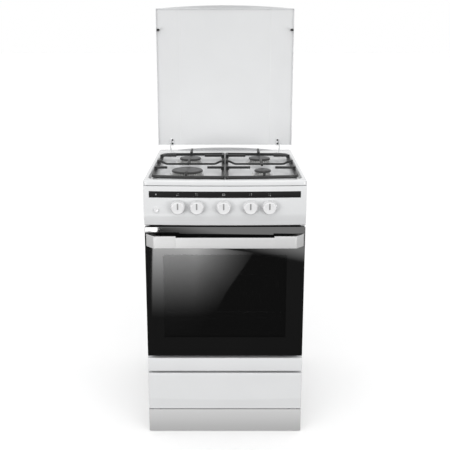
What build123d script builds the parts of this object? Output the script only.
from build123d import *
import os
from math import cos, radians, sin, sqrt

# Freestanding gas range, 50 cm wide: four burners under a folding lid, an oven with a
# drop-down glass door, and a storage drawer. Millimetres, +Z up, front towards -Y.
# The origin is on the floor, under the middle of the whole range, handle included.

os.makedirs("parts", exist_ok=True)

# ---------------------------------------------------------------- driving dimensions
width = 500.0               # across the side panels
body_depth = 580.0          # door glass face to rear panel face
handle_reach = 36.0         # handle front to door glass face
hob_height = 850.0          # floor to hob rim
front_bow = 8.0             # how far hob and control panel bulge forward at the middle
sheet = 1.2                 # folded steel sheet
running_gap = 0.05          # radial clearance of a pin or spindle in its bore
clear_gap = 0.4             # clearance between pieces that pass each other
cut_margin = 1.0            # how far a cutting shape reaches past what it cuts

# heights from the floor up
plinth_lift = 2.0           # plinth edge above the floor, the feet carry the range
plinth_height = 77.0
drawer_joint = 1.0
drawer_height = 129.0
rail_joint = 8.0
rail_height = 45.0
sill_joint = 9.0            # joint between rail and door
# heights from the hob rim down
skirt_height = 16.0
panel_joint = 2.0           # shadow joint between hob skirt and control panel
panel_height = 125.0
door_joint = 5.0            # joint between control panel and door
recess_depth = 8.0          # hob floor below the rim

# ---------------------------------------------------------------- derived planes
half_width = width / 2
front_y = -(body_depth + handle_reach) / 2 + handle_reach
rear_y = (body_depth + handle_reach) / 2
bow_y = front_y - front_bow                 # foremost line of hob and control panel
bow_radius = (half_width**2 + front_bow**2) / (2 * front_bow)
bow_axis = Axis((0, bow_y + bow_radius, 0), (0, 0, 1))
side_front = front_y + 24.0                 # front edge of the side panels
plinth_top = plinth_lift + plinth_height
drawer_bottom = plinth_top + drawer_joint
drawer_top = drawer_bottom + drawer_height
rail_bottom = drawer_top + rail_joint
rail_top = rail_bottom + rail_height
door_bottom = rail_top + sill_joint
skirt_bottom = hob_height - skirt_height
panel_top = skirt_bottom - panel_joint
panel_bottom = panel_top - panel_height
door_top = panel_bottom - door_joint
hob_floor = hob_height - recess_depth


def upright(y):
    """Plane that stands across the range at depth y and faces the front: local x, z."""
    return Plane.XZ.offset(-y)


def slab(x, y, z, mode=Mode.ADD):
    """One straight block between two limits along each axis, in the part being built."""
    with BuildSketch(Plane.XY.offset(min(z))) as base:
        with Locations((sum(x) / 2, sum(y) / 2)):
            Rectangle(abs(x[1] - x[0]), abs(y[1] - y[0]))
    extrude(base.sketch, amount=abs(z[1] - z[0]), mode=mode)


def bar_along_y(x, z, radius, y, mode=Mode.ADD):
    """Round bar parallel to Y between two depths."""
    with BuildSketch(upright(max(y))) as end:
        with Locations((x, z)):
            Circle(radius)
    extrude(end.sketch, amount=abs(y[1] - y[0]), mode=mode)


def bar_along_x(y, z, radius, x, mode=Mode.ADD):
    """Round bar parallel to X between two limits."""
    with BuildSketch(Plane.YZ.offset(min(x))) as end:
        with Locations((y, z)):
            Circle(radius)
    extrude(end.sketch, amount=abs(x[1] - x[0]), mode=mode)


def post(x, y, radius, z, mode=Mode.ADD):
    """Round upright post between two heights."""
    with BuildSketch(Plane.XY.offset(min(z))) as end:
        with Locations((x, y)):
            Circle(radius)
    extrude(end.sketch, amount=abs(z[1] - z[0]), mode=mode)


def profile_along_x(points, x, mode=Mode.ADD):
    """Closed outline of (y, z) points carried straight from one x to another."""
    with BuildSketch(Plane.YZ.offset(min(x))) as outline:
        with BuildLine():
            Polyline(*points, close=True)
        make_face()
    extrude(outline.sketch, amount=abs(x[1] - x[0]), mode=mode)


def tube_path(points, radius, bend):
    """Round tube along straight runs joined by arcs of one bend radius."""
    with BuildLine() as path:
        FilletPolyline(*points, radius=bend)
    with BuildSketch(Plane(origin=path.line @ 0, z_dir=path.line % 0)) as section:
        Circle(radius)
    sweep(section.sketch, path=path.line)


def save(piece, name):
    """Label one finished piece and write it as its own STEP file."""
    piece.part.label = name
    export_step(piece.part, f"parts/{name}.step")


# ---------------------------------------------------------------- cabinet shell
side_flange = 14.0
tray_front = front_y + 28.0
foot_radius = 18.0
foot_stem_radius = 5.0
foot_pad = 8.0
foot_inset_x = 35.0
foot_inset_front = 57.0
foot_inset_rear = 38.0


def side_panel(side):
    """Side sheet with an inward flange along its front and its rear edge."""
    wall = (side * (half_width - sheet), side * half_width)
    flange = (side * (half_width - side_flange), side * half_width)
    height = (drawer_bottom, skirt_bottom)
    with BuildPart() as panel:
        slab(wall, (side_front, rear_y - sheet), height)
        slab(flange, (side_front, side_front + sheet), height)
        slab(flange, (rear_y - 2 * sheet, rear_y - sheet), height)
    return panel


save(side_panel(-1), "side_panel_left")
save(side_panel(1), "side_panel_right")

inlet_x = half_width - 30.0
manifold_z = panel_top - 84.0
inlet_hole_radius = 24.0
gland_x = -(half_width - 50.0)
gland_z = drawer_bottom + 40.0
gland_radius = 9.0
vent_size = (46.0, 5.0)
vent_pitch = (62.0, 13.0)
vent_columns = 5
upper_vent_rows = 5
lower_vent_rows = 3

with BuildPart() as rear_panel:
    slab((-half_width, half_width), (rear_y - sheet, rear_y), (drawer_bottom, skirt_bottom))
    with BuildSketch(upright(rear_y)) as rear_holes:
        with Locations((inlet_x, manifold_z)):
            Circle(inlet_hole_radius)
        with Locations((gland_x, gland_z)):
            Circle(gland_radius + clear_gap)
        with Locations((0, panel_bottom + panel_height / 2)):
            with GridLocations(*vent_pitch, vent_columns, upper_vent_rows):
                SlotOverall(*vent_size)
        with Locations((0, rail_bottom)):
            with GridLocations(*vent_pitch, vent_columns, lower_vent_rows):
                SlotOverall(*vent_size)
    extrude(rear_holes.sketch, amount=2 * sheet, both=True, mode=Mode.SUBTRACT)
save(rear_panel, "rear_panel")

tray_height = 12.0
with BuildPart() as base_tray:
    tray_x = half_width - sheet
    tray_back = rear_y - 2 * sheet - clear_gap
    slab((-tray_x, tray_x), (tray_front, tray_back), (drawer_bottom, drawer_bottom + tray_height))
    slab(
        (-tray_x + sheet, tray_x - sheet),
        (tray_front + sheet, tray_back - sheet),
        (drawer_bottom + sheet, drawer_bottom + tray_height),
        Mode.SUBTRACT,
    )
    slab(
        (-tray_x + side_flange, tray_x - side_flange),
        (tray_front, tray_front + sheet),
        (drawer_bottom + sheet, drawer_bottom + tray_height),
        Mode.SUBTRACT,
    )
save(base_tray, "base_tray")

plinth_front = front_y + 2.0
plinth_fold = 15.0
plinth_back = rear_y - 8.0
with BuildPart() as plinth:
    slab((-half_width, half_width), (plinth_front, plinth_back), (plinth_lift, plinth_top))
    slab(
        (-half_width + sheet, half_width - sheet),
        (plinth_front + sheet, rear_y),
        (plinth_lift, plinth_top - sheet),
        Mode.SUBTRACT,
    )
    slab(
        (-half_width + plinth_fold, half_width - plinth_fold),
        (plinth_front + plinth_fold, rear_y),
        (plinth_top - sheet, plinth_top),
        Mode.SUBTRACT,
    )
save(plinth, "plinth")

foot_places = [
    (side * (half_width - foot_inset_x), y)
    for side in (-1, 1)
    for y in (front_y + foot_inset_front, rear_y - foot_inset_rear)
]
with BuildPart() as levelling_feet:
    for foot_x, foot_y in foot_places:
        post(foot_x, foot_y, foot_radius, (0, foot_pad))
        post(foot_x, foot_y, foot_stem_radius, (foot_pad, drawer_bottom))
save(levelling_feet, "levelling_feet")

with BuildPart() as front_rail:
    slab((-half_width, half_width), (front_y, side_front), (rail_bottom, rail_top))
    slab(
        (-half_width + sheet, half_width - sheet),
        (front_y + sheet, side_front),
        (rail_bottom + sheet, rail_top - sheet),
        Mode.SUBTRACT,
    )
    rail_edges = front_rail.edges().filter_by(Axis.X).group_by(Axis.Y)[0]
    fillet(rail_edges, radius=sheet / 2)
save(front_rail, "front_rail")


# ---------------------------------------------------------------- control panel
panel_crease = panel_bottom + 33.0
panel_tilt = 8.0            # how far the lower facet leans inwards at its bottom edge
panel_return = 14.0
panel_depth = 20.0
stripe_thickness = 0.5
stripe_z = (panel_top - 36.0, panel_top - 16.0)
stripe_x = (-(half_width - 17.0), half_width - 18.0)
knob_z = panel_bottom + 60.0
knob_x = {
    "front_left": -144.0,
    "rear_left": -86.0,
    "oven": -4.0,
    "rear_right": 78.0,
    "front_right": 136.0,
}
spindle_radius = 4.0
spindle_hole_radius = 6.0
button_x = -(half_width - 39.0)
button_z = panel_bottom + 50.0
button_radius = 7.5


def panel_face(x):
    """Depth of the bowed panel face at a distance x from the middle."""
    return bow_y + bow_radius - sqrt(bow_radius**2 - x**2)


def bowed(points, x):
    """Closed outline of (y, z) points at the middle, turned about the bow axis, cut at x."""
    with BuildSketch(Plane.YZ) as outline:
        with BuildLine():
            Polyline(*points, close=True)
        make_face()
    revolve(outline.sketch, axis=bow_axis)
    heights = [z for _, z in points]
    with BuildSketch(Plane.XY.offset(min(heights) - cut_margin)) as keep:
        with Locations((sum(x) / 2, front_y)):
            Rectangle(x[1] - x[0], 4 * panel_depth)
    tall = max(heights) - min(heights) + 2 * cut_margin
    extrude(keep.sketch, amount=tall, mode=Mode.INTERSECT)


with BuildPart() as control_panel:
    facet_back = bow_y + panel_tilt
    bowed(
        [
            (bow_y, panel_top),
            (bow_y, panel_crease),
            (facet_back, panel_bottom),
            (facet_back + panel_return, panel_bottom),
            (facet_back + panel_return, panel_bottom + sheet),
            (facet_back + sheet, panel_bottom + sheet),
            (bow_y + sheet, panel_crease),
            (bow_y + sheet, panel_top - sheet),
            (bow_y + panel_depth, panel_top - sheet),
            (bow_y + panel_depth, panel_top),
        ],
        (-half_width, half_width),
    )
    for side in (-1, 1):
        profile_along_x(
            [
                (front_y + sheet / 2, panel_top - sheet),
                (front_y + sheet / 2, panel_crease),
                (front_y + panel_tilt + sheet / 2, panel_bottom + sheet),
                (front_y + panel_depth, panel_bottom + sheet),
                (front_y + panel_depth, panel_top - sheet),
            ],
            (side * (half_width - sheet), side * half_width),
        )
    with BuildSketch(upright(front_y + panel_depth / 2)) as panel_holes:
        with Locations(*[(x, knob_z) for x in knob_x.values()]):
            Circle(spindle_hole_radius)
        with Locations((button_x, button_z)):
            Circle(button_radius + clear_gap)
    extrude(panel_holes.sketch, amount=2 * panel_depth, mode=Mode.SUBTRACT)
save(control_panel, "control_panel")

with BuildPart() as panel_stripe:
    bowed(
        [
            (bow_y - stripe_thickness, stripe_z[0]),
            (bow_y - stripe_thickness, stripe_z[1]),
            (bow_y, stripe_z[1]),
            (bow_y, stripe_z[0]),
        ],
        stripe_x,
    )
save(panel_stripe, "panel_stripe")

# ---------------------------------------------------------------- burners
burner_x = half_width - 129.0
burner_front = front_y + 128.0
burner_rear = rear_y - 228.0
cap_radius = {
    "front_left": 50.0,
    "rear_left": 37.5,
    "rear_right": 37.5,
    "front_right": 27.0,
}
burner_place = {
    "front_left": (-burner_x, burner_front),
    "rear_left": (-burner_x, burner_rear),
    "rear_right": (burner_x, burner_rear),
    "front_right": (burner_x, burner_front),
}
cup_share = 0.62                # burner cup radius as a share of its cap
cup_bottom = hob_height - 44.0
cup_rim = 4.0                   # cup flange outside the burner cap
cup_flange = 2.0
cup_bore = 5.0
head_height = 8.0
head_inset = 3.0                # flame ring inside the burner cap
cap_height = 7.0
cap_round = 3.0
flame_slot = (1.6, 5.0, 5.0)    # width, depth from the rim, height
flame_slots_per_mm = 0.8        # slots for each millimetre of flame ring radius
plug_radius = 2.6
plug_offset = 9.0               # spark plug axis outside the burner cap
plug_angle = 205.0
plug_bottom = hob_floor - 20.0
plug_top = hob_floor + 6.0
electrode_radius = 1.04
electrode_top = hob_floor + 10.0


def cup_radius(name):
    """Radius of the burner cup below the hob, a set share of its own cap."""
    return cup_share * cap_radius[name]


def plug_place(name):
    """Centre of the spark plug that stands beside one burner."""
    x, y = burner_place[name]
    reach = cap_radius[name] + plug_offset
    return (x + reach * cos(radians(plug_angle)), y + reach * sin(radians(plug_angle)))


# ---------------------------------------------------------------- hob
rim_side = 12.0
rim_front = 18.0
rim_rear = 83.0
rim_round = 5.0
recess_corner = 25.0
hob_corner = 9.0
flue_slot_half = 84.0
flue_slot_y = rear_y - 23.0
flue_slot_width = 4.0
upstand_half = 180.0
upstand_rise = 9.0
upstand_y = (rear_y - 12.0, rear_y - 4.0)


def hob_outline(side_inset, front_inset, rear_inset):
    """Hob outline in plan with its bowed front edge, moved in by an amount on each side."""
    x = half_width - side_inset
    back = rear_y - rear_inset
    with BuildLine() as edge:
        Polyline((x, front_y + front_inset), (x, back), (-x, back), (-x, front_y + front_inset))
        ThreePointArc(
            (-x, front_y + front_inset), (0, bow_y + front_inset), (x, front_y + front_inset)
        )
    make_face(edge.edges())


with BuildPart() as hob_top:
    with BuildSketch(Plane.XY.offset(skirt_bottom)) as hob_block:
        hob_outline(0, 0, 0)
        fillet(hob_block.vertices().group_by(Axis.Y)[0], radius=hob_corner)
    extrude(amount=skirt_height)
    fillet(hob_top.faces().sort_by(Axis.Z)[-1].edges(), radius=rim_round)
    with BuildSketch(Plane.XY.offset(hob_height)) as recess:
        hob_outline(rim_side, rim_front, rim_rear)
        fillet(recess.vertices(), radius=recess_corner)
    extrude(amount=-recess_depth, mode=Mode.SUBTRACT)
    with BuildSketch(Plane.XY.offset(skirt_bottom)) as underside:
        hob_outline(sheet, sheet, sheet)
        fillet(underside.vertices().group_by(Axis.Y)[0], radius=hob_corner)
    extrude(amount=skirt_height - recess_depth - sheet, mode=Mode.SUBTRACT)
    with BuildSketch(upright(upstand_y[1])) as upstand:
        with BuildLine():
            Line((-upstand_half, hob_height), (upstand_half, hob_height))
            ThreePointArc(
                (-upstand_half, hob_height),
                (0, hob_height + upstand_rise),
                (upstand_half, hob_height),
            )
        make_face()
    extrude(upstand.sketch, amount=upstand_y[1] - upstand_y[0])
    slab(
        (-flue_slot_half, flue_slot_half),
        (flue_slot_y - flue_slot_width / 2, flue_slot_y + flue_slot_width / 2),
        (skirt_bottom, hob_height + upstand_rise),
        Mode.SUBTRACT,
    )
    for name, (x, y) in burner_place.items():
        post(x, y, cup_radius(name) + clear_gap, (skirt_bottom, hob_height), Mode.SUBTRACT)
        post(*plug_place(name), plug_radius + clear_gap, (skirt_bottom, hob_height), Mode.SUBTRACT)
save(hob_top, "hob_top")

with BuildPart() as burner_cups:
    for name, (x, y) in burner_place.items():
        post(x, y, cup_radius(name), (cup_bottom, hob_floor))
        post(x, y, cap_radius[name] + cup_rim, (hob_floor, hob_floor + cup_flange))
        post(x, y, cup_bore, (cup_bottom, hob_floor + cup_flange), Mode.SUBTRACT)
save(burner_cups, "burner_cups")


def burner_head(name):
    """Aluminium flame ring: a disc with slots cut around its upper edge."""
    x, y = burner_place[name]
    radius = cap_radius[name] - head_inset
    bottom = hob_floor + cup_flange
    slot_width, slot_depth, slot_height = flame_slot
    count = int(radius * flame_slots_per_mm)
    post(x, y, radius, (bottom, bottom + head_height))
    post(x, y, cup_bore, (bottom, bottom + head_height), Mode.SUBTRACT)
    with BuildSketch(Plane.XY.offset(bottom + head_height)) as slots:
        with Locations((x, y)):
            with PolarLocations(radius - slot_depth / 2, count):
                Rectangle(slot_depth + cut_margin, slot_width)
    extrude(slots.sketch, amount=-slot_height, mode=Mode.SUBTRACT)


def burner_cap(name):
    """Enamelled lid of one burner, with a rounded upper edge."""
    x, y = burner_place[name]
    bottom = hob_floor + cup_flange + head_height
    with BuildSketch(Plane.XZ) as half_section:
        with BuildLine():
            rim = cap_radius[name]
            Polyline((0, 0), (rim, 0), (rim, cap_height - cap_round))
            RadiusArc((rim, cap_height - cap_round), (rim - cap_round, cap_height), -cap_round)
            Polyline((rim - cap_round, cap_height), (0, cap_height), (0, 0))
        make_face()
    turned = revolve(half_section.sketch, axis=Axis.Z, mode=Mode.PRIVATE)
    add(Pos(x, y, bottom) * turned)


burner_groups = {
    "large": ["front_left"],
    "medium": ["rear_left", "rear_right"],
    "small": ["front_right"],
}
for size_name, members in burner_groups.items():
    with BuildPart() as burner_heads:
        for name in members:
            burner_head(name)
    save(burner_heads, f"burner_head_{size_name}")
    with BuildPart() as burner_caps:
        for name in members:
            burner_cap(name)
    save(burner_caps, f"burner_cap_{size_name}")

with BuildPart() as spark_plugs:
    for name in burner_place:
        plug_x, plug_y = plug_place(name)
        post(plug_x, plug_y, plug_radius, (plug_bottom, plug_top))
        post(plug_x, plug_y, electrode_radius, (plug_top, electrode_top))
save(spark_plugs, "spark_plugs")

# ---------------------------------------------------------------- gas train
tap_radius = 11.0
tap_front = front_y + 14.0
tap_back = front_y + 50.0
tap_bore_depth = 15.0
tap_leg_half = 6.0
pipe_radius = 4.0
pipe_bend = 14.0
short_pipe_bend = 7.0       # the two front burners sit close to their taps
pipe_slope = 34.0           # length of the run where a feed pipe crosses to its burner
manifold_radius = 7.0
manifold_y = front_y + 32.0
manifold_end_x = min(knob_x.values()) - 16.0
manifold_bend = 22.0
inlet_radius = 10.48        # G 1/2 parallel thread, outside
inlet_collar_radius = 13.0
inlet_thread = 15.0
inlet_collar = 22.0
inlet_chamfer = 0.8
inlet_bore_extra = 6.0      # the bore runs on a little into the collar
thermostat_size = (42.0, 44.0)
thermostat_rise = 15.0      # thermostat body above its spindle
cavity_floor = door_bottom + 29.0
cavity_top = door_top - 26.0
cavity_back = rear_y - 128.0
oven_burner_z = cavity_floor + 12.0
oven_pipe_y = rear_y - 68.0
oven_burner_back = cavity_back - 8.0
gland_length = 24.0
gland_nut = (rear_y - 16.0, rear_y - 8.0)
gland_nut_rim = 4.0

tap_of = {name: x for name, x in knob_x.items() if name != "oven"}
with BuildPart() as gas_taps:
    for x in tap_of.values():
        bar_along_y(x, knob_z, tap_radius, (tap_front, tap_back))
        slab(
            (x - tap_leg_half, x + tap_leg_half),
            (manifold_y - tap_leg_half, manifold_y + tap_leg_half),
            (manifold_z + manifold_radius + clear_gap, knob_z),
        )
        bore = (tap_front, tap_front + tap_bore_depth)
        bar_along_y(x, knob_z, spindle_radius + running_gap, bore, Mode.SUBTRACT)
save(gas_taps, "gas_taps")

with BuildPart() as oven_thermostat:
    slab(
        (knob_x["oven"] - thermostat_size[0] / 2, knob_x["oven"] + thermostat_size[0] / 2),
        (tap_front, tap_front + thermostat_size[1]),
        (manifold_z + manifold_radius + clear_gap, knob_z + thermostat_rise),
    )
    bar_along_y(
        knob_x["oven"],
        knob_z,
        spindle_radius + running_gap,
        (tap_front, tap_front + tap_bore_depth),
        Mode.SUBTRACT,
    )
save(oven_thermostat, "oven_thermostat")

with BuildPart() as gas_manifold:
    tube_path(
        [
            (manifold_end_x, manifold_y, manifold_z),
            (inlet_x, manifold_y, manifold_z),
            (inlet_x, rear_y - inlet_thread - inlet_collar, manifold_z),
        ],
        manifold_radius,
        manifold_bend,
    )
save(gas_manifold, "gas_manifold")

with BuildPart() as gas_inlet:
    inlet_back = rear_y - inlet_thread
    bar_along_y(inlet_x, manifold_z, inlet_collar_radius, (inlet_back - inlet_collar, inlet_back))
    bar_along_y(inlet_x, manifold_z, inlet_radius, (inlet_back, rear_y))
    inlet_bore = (inlet_back - inlet_bore_extra, rear_y)
    bar_along_y(inlet_x, manifold_z, inlet_radius / 2, inlet_bore, Mode.SUBTRACT)
    chamfer(gas_inlet.edges().filter_by(GeomType.CIRCLE).group_by(Axis.Y)[-1], length=inlet_chamfer)
save(gas_inlet, "gas_inlet")

with BuildPart() as cable_gland:
    gland_y = (rear_y - gland_length, rear_y)
    bar_along_y(gland_x, gland_z, gland_radius, gland_y)
    bar_along_y(gland_x, gland_z, gland_radius + gland_nut_rim, gland_nut)
    bar_along_y(gland_x, gland_z, gland_radius / 2, gland_y, Mode.SUBTRACT)
save(cable_gland, "cable_gland")

with BuildPart() as feed_pipes:
    for name, x in tap_of.items():
        to_x, to_y = burner_place[name]
        tube_path(
            [
                (x, tap_back, knob_z),
                (x, to_y - pipe_slope, knob_z),
                (to_x, to_y, knob_z),
                (to_x, to_y, cup_bottom),
            ],
            pipe_radius,
            short_pipe_bend if name.startswith("front") else pipe_bend,
        )
    tube_path(
        [
            (knob_x["oven"], tap_front + thermostat_size[1], knob_z),
            (knob_x["oven"], oven_pipe_y, knob_z),
            (knob_x["oven"], oven_pipe_y, oven_burner_z),
            (knob_x["oven"], oven_burner_back, oven_burner_z),
        ],
        pipe_radius,
        pipe_bend,
    )
save(feed_pipes, "feed_pipes")

# ---------------------------------------------------------------- knobs and button
knob_gap = 3.6              # knob back to panel face at rest
knob_length = 18.0
knob_base_radius = 22.2
knob_face_radius = 18.7
knob_edge = 1.6
knob_bore_depth = 12.0
spindle_engaged = 8.0
spindle_flat = 1.2          # D flat ground off the spindle's front end
spindle_flat_reach = 3.2    # flat runs this far out of the knob, past its push travel
spindle_end_gap = 1.0       # spindle end to the bottom of its bore in the tap
index_width = 5.0
index_depth = 0.8
button_length = 9.0
button_proud = 5.0
button_round = 1.2


def knob_back(name):
    """Depth of the back face of one knob."""
    return panel_face(knob_x[name]) - knob_gap


def spindle_section(x, gap, y, mode=Mode.ADD):
    """Spindle section with its D flat, larger all round by a gap, between two depths."""
    flat_z = knob_z + spindle_radius - spindle_flat + gap
    with BuildSketch(upright(max(y))) as section:
        with Locations((x, knob_z)):
            Circle(spindle_radius + gap)
        with Locations((x, flat_z + spindle_radius)):
            Rectangle(3 * spindle_radius, 2 * spindle_radius, mode=Mode.SUBTRACT)
    extrude(section.sketch, amount=abs(y[1] - y[0]), mode=mode)


def spindle(name):
    """Tap spindle: round in the tap, with a D flat where the knob slides on it."""
    x = knob_x[name]
    flat_end = knob_back(name) + spindle_flat_reach
    with BuildPart() as shaft:
        round_end = tap_front + tap_bore_depth - spindle_end_gap
        bar_along_y(x, knob_z, spindle_radius, (flat_end, round_end))
        spindle_section(x, 0, (knob_back(name) - spindle_engaged, flat_end))
    return shaft


def knob(name):
    """Tapered knob with a D bore in its back and a groove for its index bar."""
    x = knob_x[name]
    back = knob_back(name)
    face = back - knob_length
    with BuildPart() as handwheel:
        with BuildSketch(upright(back)) as wide:
            with Locations((x, knob_z)):
                Circle(knob_base_radius)
        with BuildSketch(upright(face)) as narrow:
            with Locations((x, knob_z)):
                Circle(knob_face_radius)
        loft(sections=[wide.sketch, narrow.sketch])
        fillet(handwheel.faces().sort_by(Axis.Y)[0].edges(), radius=knob_edge)
        spindle_section(x, running_gap, (back - knob_bore_depth, back), Mode.SUBTRACT)
        slab(
            (x - index_width / 2, x + index_width / 2),
            (face, face + index_depth),
            (knob_z, knob_z + knob_base_radius),
            Mode.SUBTRACT,
        )
    return handwheel


for name in knob_x:
    save(spindle(name), f"spindle_{name}")
    save(knob(name), f"knob_{name}")

with BuildPart() as igniter_button:
    button_face = panel_face(button_x) - button_proud
    bar_along_y(button_x, button_z, button_radius, (button_face, button_face + button_length))
    fillet(igniter_button.edges().group_by(Axis.Y)[0], radius=button_round)
save(igniter_button, "igniter_button")

# ---------------------------------------------------------------- oven
cavity_front = front_y + 24.6
cavity_half = half_width - 48.0
cavity_flange_half = half_width - 14.5
cavity_flange_bottom = rail_top + 2.0
lagging = 20.0              # thickness of the insulation blanket
ledge_width = 16.0
ledge_top = {"tray": door_bottom + 95.8, "rack": door_bottom + 121.7}
spare_ledges = [door_bottom + 200.0, door_bottom + 280.0]
ledge_margin = 10.0
flue_stub_x = (-75.0, -25.0)
flue_stub_z = (cavity_top - 32.0, cavity_top - 12.0)
pipe_hole_radius = pipe_radius + 2.0
ledge_y = (cavity_front + ledge_margin, cavity_back - ledge_margin)

with BuildPart() as oven_cavity:
    slab(
        (-cavity_half - sheet, cavity_half + sheet),
        (cavity_front, cavity_back + sheet),
        (cavity_floor - sheet, cavity_top + sheet),
    )
    slab(
        (-cavity_flange_half, cavity_flange_half),
        (cavity_front, cavity_front + sheet),
        (cavity_flange_bottom, door_top),
    )
    slab(
        (-cavity_half, cavity_half),
        (cavity_front, cavity_back),
        (cavity_floor, cavity_top),
        Mode.SUBTRACT,
    )
    for top in [*ledge_top.values(), *spare_ledges]:
        for side in (-1, 1):
            slab(
                (side * (cavity_half - ledge_width), side * cavity_half),
                ledge_y,
                (top - sheet, top),
            )
    slab(flue_stub_x, (cavity_back, cavity_back + sheet), flue_stub_z, Mode.SUBTRACT)
    bar_along_y(
        knob_x["oven"],
        oven_burner_z,
        pipe_hole_radius,
        (cavity_back, cavity_back + sheet),
        Mode.SUBTRACT,
    )
save(oven_cavity, "oven_cavity")

with BuildPart() as oven_insulation:
    blanket_half = cavity_half + sheet + lagging
    slab(
        (-blanket_half, blanket_half),
        (cavity_front + sheet, cavity_back + sheet + lagging),
        (cavity_floor - sheet - lagging, cavity_top + sheet + lagging),
    )
    slab(
        (-cavity_half - sheet, cavity_half + sheet),
        (cavity_front + sheet, cavity_back + sheet),
        (cavity_floor - sheet, cavity_top + sheet),
        Mode.SUBTRACT,
    )
    blanket_back = (cavity_back + sheet, cavity_back + sheet + lagging)
    slab(flue_stub_x, blanket_back, flue_stub_z, Mode.SUBTRACT)
    bar_along_y(knob_x["oven"], oven_burner_z, pipe_hole_radius, blanket_back, Mode.SUBTRACT)
save(oven_insulation, "oven_insulation")

gasket_width = 8.0
gasket_thickness = 2.6
gasket_margin = 2.0             # gasket outside the oven opening
gasket_corner = 18.0
with BuildPart() as oven_gasket:
    with BuildSketch(upright(cavity_front)) as ring:
        with Locations((0, (cavity_floor + cavity_top) / 2)):
            outer_w = 2 * (cavity_half + gasket_margin + gasket_width)
            outer_h = cavity_top - cavity_floor + 2 * (gasket_margin + gasket_width)
            RectangleRounded(outer_w, outer_h, gasket_corner)
            RectangleRounded(
                outer_w - 2 * gasket_width,
                outer_h - 2 * gasket_width,
                gasket_corner - gasket_width,
                mode=Mode.SUBTRACT,
            )
    extrude(ring.sketch, amount=gasket_thickness)
save(oven_gasket, "oven_gasket")

floor_plate_z = cavity_floor + 23.0
plate_gap = 1.0                 # floor plate to oven wall
plate_margin = 6.0              # floor plate to oven mouth and back wall
flame_slot_size = (30.0, 8.0)
flame_slot_inset = 20.0         # flame slot axis inside the plate edge
flame_slot_pitch = 70.0
flame_slot_rows = 5
with BuildPart() as oven_floor_plate:
    plate_half = cavity_half - plate_gap
    plate_y = (cavity_front + plate_margin, cavity_back - plate_margin)
    slab((-plate_half, plate_half), plate_y, (floor_plate_z - sheet, floor_plate_z))
    for side in (-1, 1):
        slab(
            (side * (plate_half - sheet), side * plate_half),
            plate_y,
            (cavity_floor, floor_plate_z - sheet),
        )
    with BuildSketch(Plane.XY.offset(floor_plate_z)) as flame_slots:
        with Locations((0, sum(plate_y) / 2)):
            across = 2 * (plate_half - flame_slot_inset)
            with GridLocations(across, flame_slot_pitch, 2, flame_slot_rows):
                SlotOverall(*flame_slot_size, rotation=90)
    extrude(flame_slots.sketch, amount=-2 * sheet, mode=Mode.SUBTRACT)
save(oven_floor_plate, "oven_floor_plate")

oven_burner_radius = 8.0
oven_burner_front = front_y + 80.0
saddle_half = 3.0
saddle_y = (
    (oven_burner_front + 4, oven_burner_front + 16),
    (oven_burner_back - 22, oven_burner_back - 10),
)
with BuildPart() as oven_burner:
    tube_y = (oven_burner_front, oven_burner_back)
    bar_along_y(knob_x["oven"], oven_burner_z, oven_burner_radius, tube_y)
    for y in saddle_y:
        saddle_x = (knob_x["oven"] - saddle_half, knob_x["oven"] + saddle_half)
        slab(saddle_x, y, (cavity_floor, oven_burner_z))
save(oven_burner, "oven_burner")

rack_wire = 3.0
rung_wire = 1.6
rack_half = cavity_half - 6.0 - rack_wire
rack_y = (cavity_front + 36.0, cavity_back - 16.0)
rack_rest = 0.3                 # rack wire above its ledge
rack_z = ledge_top["rack"] + rack_wire + rack_rest
rung_count = 15
rung_lift = 1.0                 # rungs are welded on slightly above the frame wire
rung_inset = 2.0
with BuildPart() as oven_rack:
    for side in (-1, 1):
        bar_along_y(side * rack_half, rack_z, rack_wire, rack_y)
    for y in (rack_y[0] + rack_wire, rack_y[1] - rack_wire):
        bar_along_x(y, rack_z, rack_wire, (-rack_half, rack_half))
    rung_y = (rack_y[0] + rung_inset, rack_y[1] - rung_inset)
    for rung in range(1, rung_count + 1):
        rung_x = -rack_half + 2 * rack_half * rung / (rung_count + 1)
        bar_along_y(rung_x, rack_z + rung_lift, rung_wire, rung_y)
save(oven_rack, "oven_rack")

tray_wall = 1.0
tray_rim = 22.0
tray_gap = 3.0                  # tray edge to oven wall
tray_corner = 10.0
with BuildPart() as baking_tray:
    tray_half = cavity_half - tray_gap
    tray_y = (cavity_front + 38.0, cavity_back - 14.0)
    bottom = ledge_top["tray"]
    slab((-tray_half, tray_half), tray_y, (bottom, bottom + tray_rim))
    fillet(baking_tray.edges().filter_by(Axis.Z), radius=tray_corner)
    slab(
        (-tray_half + tray_wall, tray_half - tray_wall),
        (tray_y[0] + tray_wall, tray_y[1] - tray_wall),
        (bottom + tray_wall, bottom + tray_rim),
        Mode.SUBTRACT,
    )
save(baking_tray, "baking_tray")

flue_half = 80.0
flue_y = (rear_y - 36.0, rear_y - 10.0)
flue_sump = 20.0                # duct reaches this far below its stub
with BuildPart() as flue_duct:
    duct_bottom = flue_stub_z[0] - flue_sump
    duct_top = hob_floor - sheet - clear_gap
    stub = (cavity_back + sheet, flue_y[0] + sheet)
    stub_x = (flue_stub_x[0] + clear_gap, flue_stub_x[1] - clear_gap)
    stub_z = (flue_stub_z[0] + clear_gap, flue_stub_z[1] - clear_gap)
    slab((-flue_half, flue_half), flue_y, (duct_bottom, duct_top))
    slab(stub_x, stub, stub_z)
    slab(
        (-flue_half + sheet, flue_half - sheet),
        (flue_y[0] + sheet, flue_y[1] - sheet),
        (duct_bottom + sheet, duct_top),
        Mode.SUBTRACT,
    )
    slab(
        (stub_x[0] + sheet, stub_x[1] - sheet),
        stub,
        (stub_z[0] + sheet, stub_z[1] - sheet),
        Mode.SUBTRACT,
    )
save(flue_duct, "flue_duct")

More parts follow.
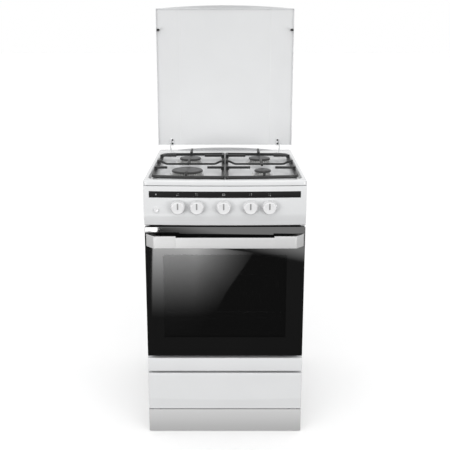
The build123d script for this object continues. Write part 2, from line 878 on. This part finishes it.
# ---------------------------------------------------------------- oven door
glass_thickness = 4.0
door_thickness = 21.0
door_side_gap = 1.2         # glass edge inside the cabinet width
hinge_y = front_y + 11.0    # door hinge axis
hinge_z = door_bottom + 9.0
hinge_pin_radius = 3.5
hinge_eye_radius = 6.5
hinge_arm_half = 5.0
hinge_eye_x = (half_width - 17.5, half_width - 14.5)
hinge_block_x = (half_width - 31.0, half_width - 21.0)
hinge_pin_end = half_width - 12.0
window_half = 196.0
window_bottom = door_bottom + 62.0
window_top = door_bottom + 344.0
frame_side_gap = 2.0
frame_end_gap = 2.0
hinge_block_rise = 12.0         # hinge block above its axis
pane_overlap = 10.0             # inner pane behind the window edge
glass_back = front_y + glass_thickness
door_back = front_y + door_thickness
glass_half = half_width - door_side_gap

with BuildPart() as door_glass:
    slab((-glass_half, glass_half), (front_y, glass_back), (door_bottom, door_top))
    chamfer(door_glass.faces().sort_by(Axis.Y)[0].edges(), length=0.8)
save(door_glass, "door_glass")

with BuildPart() as door_frame:
    frame_half = half_width - frame_side_gap
    frame_z = (door_bottom + frame_end_gap, door_top - frame_end_gap)
    slab((-frame_half, frame_half), (glass_back, door_back), frame_z)
    slab(
        (-frame_half + sheet, frame_half - sheet),
        (glass_back, door_back - sheet),
        (frame_z[0] + sheet, frame_z[1] - sheet),
        Mode.SUBTRACT,
    )
    slab(
        (-window_half, window_half),
        (glass_back, door_back),
        (window_bottom, window_top),
        Mode.SUBTRACT,
    )
    for side in (-1, 1):
        slab(
            (side * hinge_block_x[1], side * half_width),
            (glass_back, door_back),
            (door_bottom, hinge_z + hinge_block_rise),
            Mode.SUBTRACT,
        )
save(door_frame, "door_frame")

with BuildPart() as door_inner_glass:
    inner_half = window_half + pane_overlap
    slab(
        (-inner_half, inner_half),
        (door_back - sheet - glass_thickness, door_back - sheet),
        (window_bottom - pane_overlap, window_top + pane_overlap),
    )
save(door_inner_glass, "door_inner_glass")

with BuildPart() as door_hinge_pins:
    for side in (-1, 1):
        slab(
            (side * hinge_block_x[0], side * hinge_block_x[1]),
            (glass_back + clear_gap, door_back - sheet),
            (frame_z[0] + sheet, hinge_z + hinge_block_rise),
        )
        pin_x = (side * hinge_block_x[1], side * hinge_pin_end)
        bar_along_x(hinge_y, hinge_z, hinge_pin_radius, pin_x)
save(door_hinge_pins, "door_hinge_pins")

with BuildPart() as door_hinge_brackets:
    for side in (-1, 1):
        eye_x = (side * hinge_eye_x[0], side * hinge_eye_x[1])
        bar_along_x(hinge_y, hinge_z, hinge_eye_radius, eye_x)
        slab(
            eye_x,
            (hinge_y, cavity_front),
            (hinge_z - hinge_arm_half, hinge_z + hinge_arm_half),
        )
        bar_along_x(hinge_y, hinge_z, hinge_pin_radius + running_gap, eye_x, Mode.SUBTRACT)
save(door_hinge_brackets, "door_hinge_brackets")

handle_z = (door_top - 59.0, door_top - 25.0)
handle_half = 215.0
handle_thickness = 9.0
handle_front = front_y - handle_reach
handle_round = 3.0
arm_overlap = 15.0              # arm behind the end of the bar
arm_step = 2.0                  # arm set back from the bar's front face
arm_nose = 4.0                  # short flat before the arm slants back
arm_slant = 29.0                # depth from the bar's front to the end of the slant
arm_foot = 16.0                 # width of the arm's foot on the glass
arm_thickness = 7.0
arm_end_inset = 6.0             # arm's outer face inside the cabinet width
with BuildPart() as door_handle_bar:
    bar_back = handle_front + handle_thickness
    slab((-handle_half, handle_half), (handle_front, bar_back), handle_z)
    fillet(
        door_handle_bar.faces().sort_by(Axis.Y)[0].edges().filter_by(Axis.X),
        radius=handle_round,
    )
save(door_handle_bar, "door_handle_bar")

with BuildPart() as door_handle_ends:
    end_foot = half_width - arm_end_inset
    for side in (-1, 1):
        with BuildSketch(Plane.XY.offset(handle_z[0])) as arm:
            with BuildLine():
                Polyline(
                    (side * (handle_half - arm_overlap), bar_back),
                    (side * handle_half, bar_back),
                    (side * handle_half, handle_front + arm_step),
                    (side * (handle_half + arm_nose), handle_front + arm_step),
                    (side * end_foot, handle_front + arm_slant),
                    (side * end_foot, front_y),
                    (side * (end_foot - arm_foot), front_y),
                    (side * (handle_half - arm_nose), bar_back + arm_thickness),
                    (side * (handle_half - arm_overlap), bar_back + arm_thickness),
                    close=True,
                )
            make_face()
        extrude(arm.sketch, amount=handle_z[1] - handle_z[0])
save(door_handle_ends, "door_handle_ends")

# ---------------------------------------------------------------- storage drawer
drawer_crease = drawer_bottom + 38.0
drawer_step = 3.5           # lower facet set in at its bottom edge
drawer_depth = 19.0
drawer_side_gap = 0.5
runner_gap = 1.0
box_half = half_width - 25.0
box_z = (drawer_bottom + 18.0, drawer_top - 29.0)
box_y = (front_y + drawer_depth, rear_y - 118.0)
box_lip = 9.0               # flange that runs on the drawer runners
lip_start = 12.0            # flange starts this far behind the drawer front
runner_height = 30.0
with BuildPart() as drawer_front:
    front_x = half_width - drawer_side_gap
    facet_y = front_y + drawer_step
    profile_along_x(
        [
            (front_y, drawer_top),
            (front_y, drawer_crease),
            (facet_y, drawer_bottom),
            (front_y + drawer_depth, drawer_bottom),
            (front_y + drawer_depth, drawer_top),
        ],
        (-front_x, front_x),
    )
    profile_along_x(
        [
            (front_y + sheet, drawer_top - sheet),
            (front_y + sheet, drawer_crease),
            (facet_y + sheet, drawer_bottom + sheet),
            (front_y + drawer_depth - sheet, drawer_bottom + sheet),
            (front_y + drawer_depth - sheet, drawer_top - sheet),
        ],
        (-front_x + sheet, front_x - sheet),
        Mode.SUBTRACT,
    )
save(drawer_front, "drawer_front")

with BuildPart() as drawer_box:
    slab((-box_half, box_half), box_y, box_z)
    slab(
        (-box_half - box_lip, box_half + box_lip),
        (box_y[0] + lip_start, box_y[1]),
        (box_z[1] - sheet, box_z[1]),
    )
    slab(
        (-box_half + sheet, box_half - sheet),
        (box_y[0] + sheet, box_y[1] - sheet),
        (box_z[0] + sheet, box_z[1]),
        Mode.SUBTRACT,
    )
save(drawer_box, "drawer_box")

with BuildPart() as drawer_runners:
    for side in (-1, 1):
        runner_top = box_z[1] - sheet - clear_gap
        runner_x = (side * (box_half + runner_gap), side * (half_width - sheet))
        runner_y = (side_front + sheet, rear_y - 60)
        slab(runner_x, runner_y, (runner_top - runner_height, runner_top))
        slab(
            (side * (box_half + runner_gap), side * (half_width - 2 * sheet)),
            runner_y,
            (runner_top - runner_height + sheet, runner_top - sheet),
            Mode.SUBTRACT,
        )
save(drawer_runners, "drawer_runners")

# ---------------------------------------------------------------- folding lid
lid_axis_y = rear_y - 62.0
lid_axis_z = hob_height + 10.0
lid_offset = 19.0           # lid sheet behind its hinge axis when it stands open
lid_side_gap = 1.0
lid_front_margin = 10.0     # closed lid corner behind the front corner of the hob
lid_lip_rise = 12.0         # bowed lip beyond the straight fold
lid_lip_lean = 6.0
lid_flange = 8.0
lid_sheet = 1.5
lid_face = lid_axis_y + lid_offset
lid_fold_z = lid_axis_z + lid_axis_y - front_y - lid_front_margin
lid_bottom = lid_axis_z + 15.0
lid_half = half_width - lid_side_gap
lid_plate_x = 203.0
lid_arm_thickness = 2.0
lid_pin_radius = 3.0
bumper_radius = 4.5
bumper_x = half_width - 9.0
bumper_drop = 74.0          # bumper below the lid's fold when it stands open
bumper_length = lid_axis_z + lid_offset - hob_height - clear_gap
bumper_round = 1.5
lid_boss_radius = 6.0       # bracket eye around the hinge pin
lid_arm_half = 5.0          # half width of the hinge arm at its pin
lid_arm_corner = 2.0        # corner cut off the arm at its pin
lid_tab_z = (lid_bottom - 2.0, lid_bottom + 26.0)
lid_tab_width = 13.0
lid_ear_thickness = 2.6
lid_foot_width = 16.0
lid_foot_half = 9.0
screw_radius = 3.4
screw_height = 1.8
screw_round = 0.9
screw_z = (lid_bottom + 5.0, lid_bottom + 18.0)

with BuildPart() as lid:
    slab((-lid_half, lid_half), (lid_face, lid_face + lid_sheet), (lid_bottom, lid_fold_z))
    with BuildSketch(upright(lid_face + lid_sheet)) as lip:
        with BuildLine():
            Line((-lid_half, lid_fold_z), (lid_half, lid_fold_z))
            ThreePointArc(
                (-lid_half, lid_fold_z), (0, lid_fold_z + lid_lip_rise), (lid_half, lid_fold_z)
            )
        make_face()
    extrude(lip.sketch, amount=lid_lip_lean + lid_sheet)
    with BuildSketch(Plane.YZ.offset(-lid_half)) as lip_front:
        with BuildLine():
            Polyline(
                (lid_face, lid_fold_z),
                (lid_face - lid_lip_lean, lid_fold_z + lid_lip_rise),
                (lid_face - 2 * lid_lip_lean, lid_fold_z + lid_lip_rise),
                (lid_face - 2 * lid_lip_lean, lid_fold_z),
                close=True,
            )
        make_face()
    extrude(lip_front.sketch, amount=2 * lid_half, mode=Mode.SUBTRACT)
    for side in (-1, 1):
        slab(
            (side * (lid_half - lid_sheet), side * lid_half),
            (lid_face - lid_flange, lid_face),
            (lid_bottom, lid_fold_z),
        )
save(lid, "lid")

with BuildPart() as lid_bumpers:
    for side in (-1, 1):
        bar_along_y(
            side * bumper_x,
            lid_fold_z - bumper_drop,
            bumper_radius,
            (lid_face - bumper_length, lid_face),
        )
    fillet(lid_bumpers.edges().group_by(Axis.Y)[0], radius=bumper_round)
save(lid_bumpers, "lid_bumpers")

with BuildPart() as lid_hinge_arms:
    arm_low = lid_arm_half - lid_arm_corner / 2
    for side in (-1, 1):
        profile_along_x(
            [
                (lid_axis_y - lid_arm_half, lid_axis_z),
                (lid_axis_y - lid_arm_half + lid_arm_corner, lid_axis_z + lid_arm_half),
                (lid_face - lid_sheet, lid_tab_z[1]),
                (lid_face, lid_tab_z[1]),
                (lid_face, lid_tab_z[0]),
                (lid_axis_y + lid_arm_half, lid_axis_z - lid_arm_corner / 2),
                (lid_axis_y + lid_arm_half - lid_arm_corner, lid_axis_z - arm_low),
                (lid_axis_y - lid_arm_half + lid_arm_corner, lid_axis_z - arm_low),
            ],
            (side * lid_plate_x, side * (lid_plate_x + lid_arm_thickness)),
        )
        slab(
            (side * (lid_plate_x - lid_tab_width), side * lid_plate_x),
            (lid_face - lid_arm_thickness, lid_face),
            lid_tab_z,
        )
        pin_end = lid_plate_x - lid_ear_thickness - 2 * clear_gap
        pin_x = (side * pin_end, side * lid_plate_x)
        bar_along_x(lid_axis_y, lid_axis_z, lid_pin_radius, pin_x)
save(lid_hinge_arms, "lid_hinge_arms")

with BuildPart() as lid_screws:
    screw_back = lid_face - lid_arm_thickness
    for side in (-1, 1):
        for z in screw_z:
            screw_x = side * (lid_plate_x - lid_tab_width / 2)
            bar_along_y(screw_x, z, screw_radius, (screw_back - screw_height, screw_back))
    fillet(lid_screws.edges().group_by(Axis.Y)[0], radius=screw_round)
save(lid_screws, "lid_screws")

with BuildPart() as lid_hinge_brackets:
    ear_outer = lid_plate_x - clear_gap
    for side in (-1, 1):
        ear_x = (side * (ear_outer - lid_ear_thickness), side * ear_outer)
        slab(
            (side * (lid_plate_x - lid_foot_width), side * ear_outer),
            (lid_axis_y - lid_foot_half, lid_axis_y + lid_foot_half),
            (hob_height, hob_height + sheet),
        )
        slab(
            ear_x,
            (lid_axis_y - lid_boss_radius, lid_axis_y + lid_boss_radius),
            (hob_height, lid_axis_z),
        )
        bar_along_x(lid_axis_y, lid_axis_z, lid_boss_radius, ear_x)
        hole = lid_pin_radius + running_gap
        bar_along_x(lid_axis_y, lid_axis_z, hole, ear_x, Mode.SUBTRACT)
save(lid_hinge_brackets, "lid_hinge_brackets")

# ---------------------------------------------------------------- pan supports
grate_bar = 10.0
grate_z = hob_floor + 6.0
grate_lift_gap = 0.1
finger_width = 8.0
finger_top = hob_floor + 27.0
grate_outer = half_width - 21.0
grate_inner = 1.0
grate_front = front_y + 20.0    # foremost line, at the middle of the range
grate_back = rear_y - 118.0
grate_front_bow = 14.0
grate_back_bow = 12.0
grate_corner = 26.0
rod_y = (burner_front + burner_rear) / 2 + 3.0
rod_dip = 9.0
rod_radius = 3.5
tip_gap = {"front_left": 14.0, "rear_left": 11.5, "rear_right": 11.5, "front_right": 13.0}
front_tip_gap = {-1: 16.0, 1: 67.0}         # tips in front of the front burner's cap
middle_tip_gap = {-1: 8.0, 1: 14.0}         # tips behind the front burner's cap
rear_tip_gap = 8.5                          # tips in front of the rear burner's cap
back_tip_gap = 13.5                         # tips behind the rear burner's cap
back_finger_end = grate_back + 25.0         # rearmost end of the back finger
finger_sink = 1.0                           # finger below the top of the frame bar
side_overlap = 2.0                          # finger inside the frame's outer edge
front_overlap = 6.0
lug_inset = 1.0                             # lug inside the frame's outer edge
lug_length = 8.0                            # short upright lugs that carry the rod
rod_end = 5.0                               # rod end inside the frame's outer edge
rod_shoulder = 14.0
rod_fall = 32.0
rod_sink = 1.0                              # rod below the top of its lugs
rod_bend = 4.0
grate_foot_radius = 4.0
grate_foot_reach = 40.0                     # feet beyond the burner centres


def finger(x, y):
    """Straight finger of the pan support, standing on the frame bars."""
    slab(x, y, (grate_z + grate_bar - finger_sink, finger_top))


def grate(side):
    """One pan support: a bowed frame on small feet, with fingers round two burners."""
    front, rear = ("front_left", "rear_left") if side < 0 else ("front_right", "rear_right")
    x_mid = side * burner_x
    frame_x = (side * grate_inner, side * grate_outer)
    with BuildPart() as support:
        with BuildSketch(Plane.XY.offset(grate_z)) as frame:
            with BuildLine() as edge:
                ThreePointArc(
                    (-grate_outer, grate_front + grate_front_bow),
                    (0, grate_front),
                    (grate_outer, grate_front + grate_front_bow),
                )
                Line(
                    (grate_outer, grate_front + grate_front_bow),
                    (grate_outer, grate_back - grate_back_bow),
                )
                ThreePointArc(
                    (grate_outer, grate_back - grate_back_bow),
                    (0, grate_back),
                    (-grate_outer, grate_back - grate_back_bow),
                )
                Line(
                    (-grate_outer, grate_back - grate_back_bow),
                    (-grate_outer, grate_front + grate_front_bow),
                )
            make_face()
            with Locations((sum(frame_x) / 2, 0)):
                Rectangle(abs(frame_x[1] - frame_x[0]), 2 * body_depth, mode=Mode.INTERSECT)
            by_side = frame.vertices().sort_by(Axis.X)
            fillet(by_side[:2] if side < 0 else by_side[2:], radius=grate_corner)
            offset(amount=-grate_bar, mode=Mode.SUBTRACT)
        extrude(frame.sketch, amount=grate_bar)
        for row in (front, rear):
            y = burner_place[row][1]
            across = (y - finger_width / 2, y + finger_width / 2)
            reach = cap_radius[row] + tip_gap[row]
            finger((side * (grate_inner + side_overlap), x_mid - side * reach), across)
            finger((x_mid + side * reach, side * (grate_outer - side_overlap)), across)
        along = (x_mid - finger_width / 2, x_mid + finger_width / 2)
        front_cap, rear_cap = cap_radius[front], cap_radius[rear]
        front_tip = burner_front - front_cap - front_tip_gap[side]
        middle_start = burner_front + front_cap + middle_tip_gap[side]
        middle_end = burner_rear - rear_cap - rear_tip_gap
        finger(along, (grate_front + front_overlap, front_tip))
        finger(along, (middle_start, middle_end))
        finger(along, (burner_rear + rear_cap + back_tip_gap, back_finger_end))
        beside_rod = (rod_y - finger_width / 2, rod_y + finger_width / 2)
        inner_lug = grate_inner + lug_inset
        outer_lug = grate_outer - lug_inset
        finger((side * inner_lug, side * (inner_lug + lug_length)), beside_rod)
        finger((side * outer_lug, side * (outer_lug - lug_length)), beside_rod)
        rod_z = finger_top - rod_radius - rod_sink
        with BuildLine() as rod:
            FilletPolyline(
                (side * (grate_inner + rod_end), rod_y, rod_z),
                (side * (grate_inner + rod_shoulder), rod_y, rod_z),
                (side * (grate_inner + rod_fall), rod_y, rod_z - rod_dip),
                (side * (grate_outer - rod_fall), rod_y, rod_z - rod_dip),
                (side * (grate_outer - rod_shoulder), rod_y, rod_z),
                (side * (grate_outer - rod_end), rod_y, rod_z),
                radius=rod_bend,
            )
        with BuildSketch(Plane(origin=rod.line @ 0, z_dir=rod.line % 0)) as rod_section:
            Circle(rod_radius)
        sweep(rod_section.sketch, path=rod.line)
        for foot_x in (grate_inner + rod_end, grate_outer - rod_end):
            for foot_y in (burner_front - grate_foot_reach, burner_rear + grate_foot_reach):
                foot_z = (hob_floor + grate_lift_gap, grate_z)
                post(side * foot_x, foot_y, grate_foot_radius, foot_z)
    return support


save(grate(-1), "grate_left")
save(grate(1), "grate_right")
